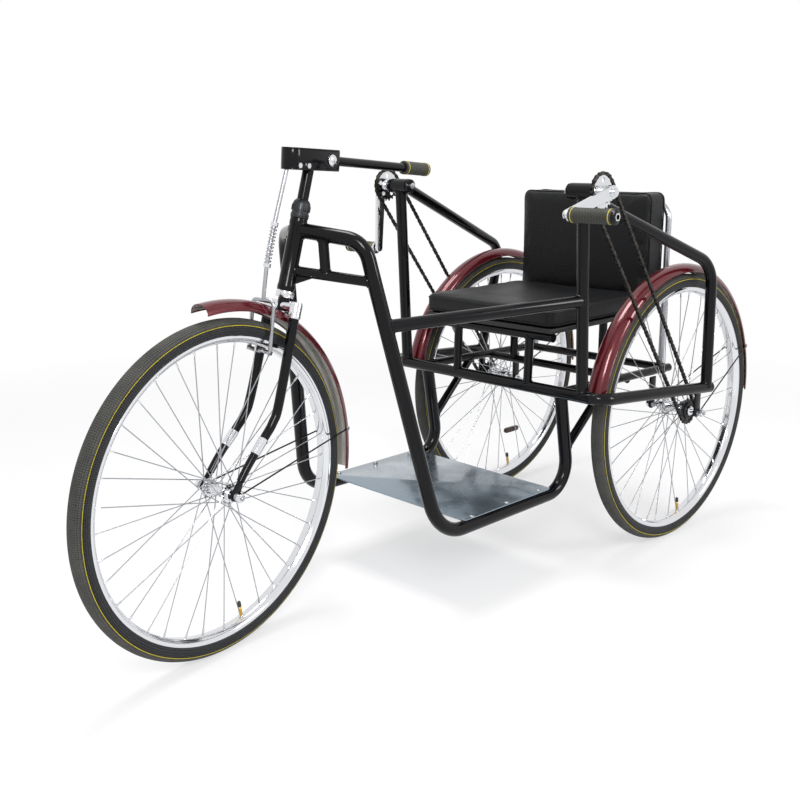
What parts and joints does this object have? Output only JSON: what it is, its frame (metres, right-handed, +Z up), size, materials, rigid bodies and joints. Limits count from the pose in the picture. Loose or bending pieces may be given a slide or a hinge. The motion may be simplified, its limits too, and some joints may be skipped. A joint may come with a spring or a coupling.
{
  "type": "hand-propelled tricycle",
  "caption": "Tricycle driven by hand cranks and chains, with a steered front wheel and tiller, a tubular frame, footboard, padded seat and fenders.",
  "frame": {"origin": "on the ground under the middle of the machine's box", "axes": "+X forward, +Y to the left, +Z up"},
  "size_m": [1.955, 0.996, 1.0326],
  "materials": {
    "enamel": "gloss",
    "fender": "metallic gloss",
    "chrome": "polished",
    "steel": "satin",
    "chain": "oiled",
    "footboard": "gloss",
    "tyre": "matte",
    "grip": "ribbed",
    "vinyl": "grained vinyl",
    "board": "painted"
  },
  "bodies": {
    "frame": {"backrest_cushion": "vinyl", "backrest_frame": "steel", "chain_left": "chain", "chain_right": "chain", "crank_housing_left": "enamel", "crank_housing_right": "enamel", "crank_post_left": "enamel", "crank_post_right": "enamel", "diagonal_brace_left": "enamel", "diagonal_brace_right": "enamel", "footboard": "footboard", "head_tube": "enamel", "main_tube_left": "enamel", "main_tube_right": "enamel", "outer_rail": "enamel", "rear_axle_left": "steel", "rear_axle_right": "steel", "rear_fender_left": "fender", "rear_fender_right": "fender", "seat_bar": "enamel", "seat_board": "board", "seat_cushion": "vinyl", "side_rail": "enamel", "under_seat_frame": "enamel", "wheel_guard_left": "enamel", "wheel_guard_right": "enamel"},
    "steering": {"fork": "enamel", "brake_stirrup": "steel", "front_axle": "steel", "front_fender": "fender", "tiller_bracket": "enamel", "tiller_bar": "enamel", "tiller_grip": "grip"},
    "front_wheel": {"front_wheel": "chrome", "front_tyre": "tyre"},
    "rear_wheel_left": {"rear_left_wheel": "chrome", "rear_left_tyre": "tyre", "freewheel_left": "chain"},
    "rear_wheel_right": {"rear_right_wheel": "chrome", "rear_right_tyre": "tyre", "freewheel_right": "chain"},
    "crank_left": {"crank_left": "chrome", "chainring_left": "chrome"},
    "crank_right": {"crank_right": "chrome", "chainring_right": "chrome"},
    "grip_left": {"grip_left": "grip"},
    "grip_right": {"grip_right": "grip"}
  },
  "joints": [
    {"name": "steer", "type": "hinge", "parent": "frame", "child": "steering", "pos_m": [0.55061, 0, 0.33334], "axis": [-0.277, 0, 0.9609], "range_deg": [-48.3, 31.7]},
    {"name": "front_wheel_spin", "type": "hinge", "parent": "steering", "child": "front_wheel", "pos_m": [0.62668, 0.01155, 0.35527], "axis": [-0.1387, 0.9895, -0.04], "continuous": true},
    {"name": "rear_left_spin", "type": "hinge", "parent": "frame", "child": "rear_wheel_left", "pos_m": [-0.61372, 0.3026, 0.3555], "axis": [0, 1, 0], "continuous": true},
    {"name": "rear_right_spin", "type": "hinge", "parent": "frame", "child": "rear_wheel_right", "pos_m": [-0.61372, -0.3026, 0.3555], "axis": [0, 1, 0], "continuous": true},
    {"name": "crank_left_spin", "type": "hinge", "parent": "frame", "child": "crank_left", "pos_m": [-0.18972, 0.345, 0.932], "axis": [0, 1, 0], "continuous": true},
    {"name": "crank_right_spin", "type": "hinge", "parent": "frame", "child": "crank_right", "pos_m": [-0.18972, -0.345, 0.932], "axis": [0, 1, 0], "continuous": true},
    {"name": "grip_left_spin", "type": "hinge", "parent": "crank_left", "child": "grip_left", "pos_m": [-0.02671, 0.435, 0.89136], "axis": [0, 1, 0], "continuous": true},
    {"name": "grip_right_spin", "type": "hinge", "parent": "crank_right", "child": "grip_right", "pos_m": [-0.18092, -0.435, 0.76423], "axis": [0, 1, 0], "continuous": true}
  ]
}
